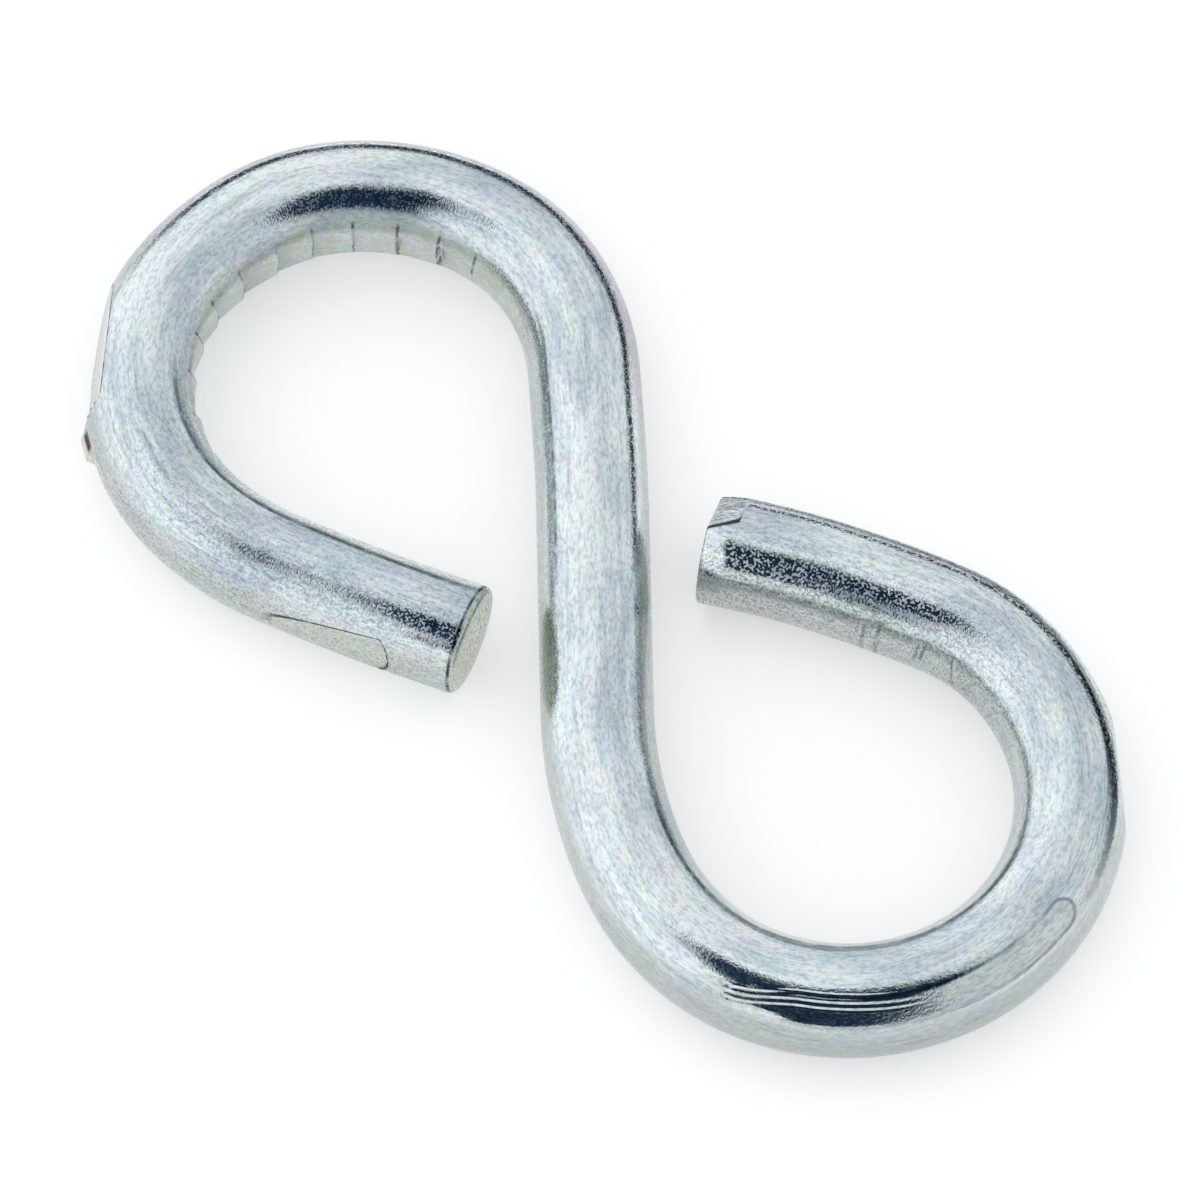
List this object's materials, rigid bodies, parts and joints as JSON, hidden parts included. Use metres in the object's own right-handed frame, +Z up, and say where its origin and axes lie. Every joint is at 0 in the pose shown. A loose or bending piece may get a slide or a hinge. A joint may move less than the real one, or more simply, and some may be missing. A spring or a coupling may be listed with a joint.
{
  "type": "s hook",
  "caption": "Closed S hook bent from round bright-plated steel wire, with an open-ended round eye at each end of a straight spine.",
  "frame": {"origin": "on the surface that the hook lies on, below the middle of its length and width", "axes": "+X along the hook from the upper eye to the lower eye, +Y across it, +Z up, across the flat side of the S"},
  "size_m": [0.0542, 0.0246, 0.005],
  "materials": {
    "zinc_plate": "bright zinc plate over drawn steel wire, with drag marks from the bending tools"
  },
  "bodies": {
    "root": {"s_hook": "zinc_plate"}
  },
  "joints": []
}
